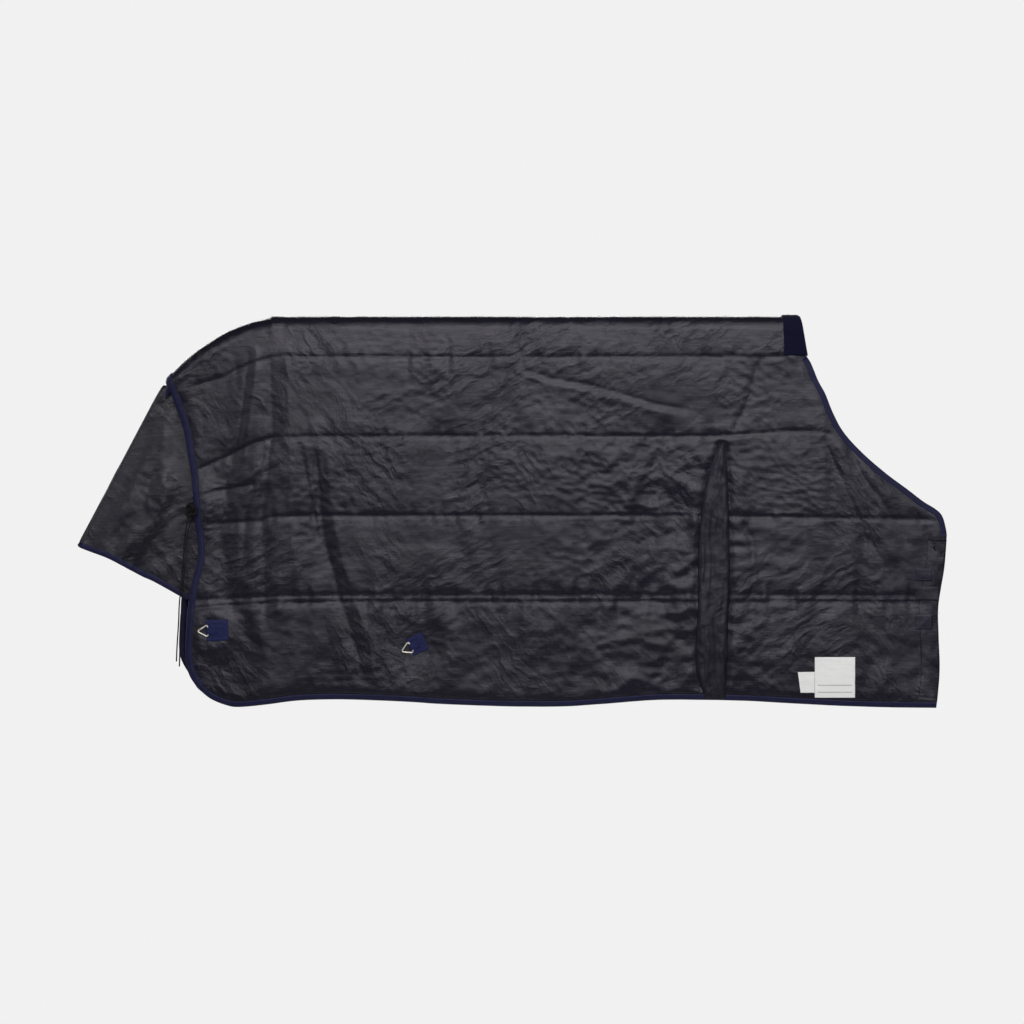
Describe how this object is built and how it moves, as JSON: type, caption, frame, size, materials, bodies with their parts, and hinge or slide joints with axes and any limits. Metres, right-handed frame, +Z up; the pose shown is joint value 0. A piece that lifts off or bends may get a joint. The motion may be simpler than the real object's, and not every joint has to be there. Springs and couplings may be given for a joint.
{
  "type": "turnout rug",
  "caption": "Quilted horse turnout rug hung inside out over a rail by its spine, with tail flap, leg-strap rings, chest straps and a fillet string.",
  "frame": {"origin": "middle of the straight ridge, on the underside of the spine tape where a rail bears", "axes": "+X towards the head end, +Z up, near (left) half at -Y, off half at +Y; lining outwards"},
  "size_m": [1.93, 0.0992, 0.8742],
  "materials": {
    "lining_nylon": "satin woven",
    "shell_fabric": "matt woven",
    "filling": "matt",
    "navy_binding": "matt woven tape",
    "withers_fleece": "matt",
    "label": "satin",
    "ring_metal": "satin",
    "buckle_metal": "satin",
    "cord": "matt",
    "navy_webbing": "matt woven",
    "chest_webbing": "matt woven"
  },
  "bodies": {
    "rug": {"care_label": "label", "fillet_string": "cord", "fillet_tail_back": "cord", "fillet_tail_front": "cord", "lower_buckle_chape": "chest_webbing", "lower_buckle_frame": "buckle_metal", "lower_chest_strap": "chest_webbing", "lower_strap_keeper": "chest_webbing", "near_chest_facing": "lining_nylon", "near_fillet_knot": "cord", "near_fillet_loop": "navy_binding", "near_filling": "filling", "near_front_leg_loop": "navy_webbing", "near_front_leg_patch": "navy_webbing", "near_hem_binding": "navy_binding", "near_lining": "lining_nylon", "near_neck_binding": "navy_binding", "near_outer_shell": "shell_fabric", "near_rear_leg_loop": "navy_webbing", "near_rear_leg_patch": "navy_webbing", "near_rump_binding": "navy_binding", "near_shoulder_gusset": "lining_nylon", "off_chest_facing": "lining_nylon", "off_fillet_knot": "cord", "off_fillet_loop": "navy_binding", "off_filling": "filling", "off_front_leg_loop": "navy_webbing", "off_front_leg_patch": "navy_webbing", "off_hem_binding": "navy_binding", "off_lining": "lining_nylon", "off_neck_binding": "navy_binding", "off_outer_shell": "shell_fabric", "off_rear_leg_loop": "navy_webbing", "off_rear_leg_patch": "navy_webbing", "off_rump_binding": "navy_binding", "off_shoulder_gusset": "lining_nylon", "size_tag": "label", "spine_tape": "navy_binding", "upper_buckle_chape": "chest_webbing", "upper_buckle_frame": "buckle_metal", "upper_chest_strap": "chest_webbing", "upper_strap_keeper": "chest_webbing", "withers_pad": "withers_fleece"},
    "near_rear_leg_ring": {"near_rear_leg_ring": "ring_metal"},
    "near_front_leg_ring": {"near_front_leg_ring": "ring_metal"},
    "off_rear_leg_ring": {"off_rear_leg_ring": "ring_metal"},
    "off_front_leg_ring": {"off_front_leg_ring": "ring_metal"},
    "tail_flap": {"tail_flap_binding": "navy_binding", "tail_flap_lining": "lining_nylon", "tail_flap_shell": "shell_fabric"},
    "upper_buckle_prong": {"upper_buckle_prong": "buckle_metal"},
    "lower_buckle_prong": {"lower_buckle_prong": "buckle_metal"}
  },
  "joints": [
    {"name": "near_rear_ring_swing", "type": "hinge", "parent": "rug", "child": "near_rear_leg_ring", "pos_m": [-0.7288, -0.03775, -0.6897], "axis": [-0.0523, 0, 0.9986], "range_deg": [0, 135]},
    {"name": "near_front_ring_swing", "type": "hinge", "parent": "rug", "child": "near_front_leg_ring", "pos_m": [-0.2776, -0.03775, -0.7258], "axis": [-0.4384, 0, 0.8988], "range_deg": [0, 135]},
    {"name": "off_rear_ring_swing", "type": "hinge", "parent": "rug", "child": "off_rear_leg_ring", "pos_m": [-0.7288, 0.03775, -0.6897], "axis": [0.0523, 0, -0.9986], "range_deg": [0, 135]},
    {"name": "off_front_ring_swing", "type": "hinge", "parent": "rug", "child": "off_front_leg_ring", "pos_m": [-0.2776, 0.03775, -0.7258], "axis": [0.4384, 0, -0.8988], "range_deg": [0, 135]},
    {"name": "tail_flap_lift", "type": "hinge", "parent": "rug", "child": "tail_flap", "pos_m": [-0.822, 0, -0.142], "axis": [0, 1, 0], "range_deg": [0, 28]},
    {"name": "upper_prong_lift", "type": "hinge", "parent": "rug", "child": "upper_buckle_prong", "pos_m": [0.816, 0.0183, -0.566], "axis": [0, 0, -1], "range_deg": [0, 20]},
    {"name": "lower_prong_lift", "type": "hinge", "parent": "rug", "child": "lower_buckle_prong", "pos_m": [0.816, 0.0183, -0.664], "axis": [0, 0, -1], "range_deg": [0, 20]}
  ]
}
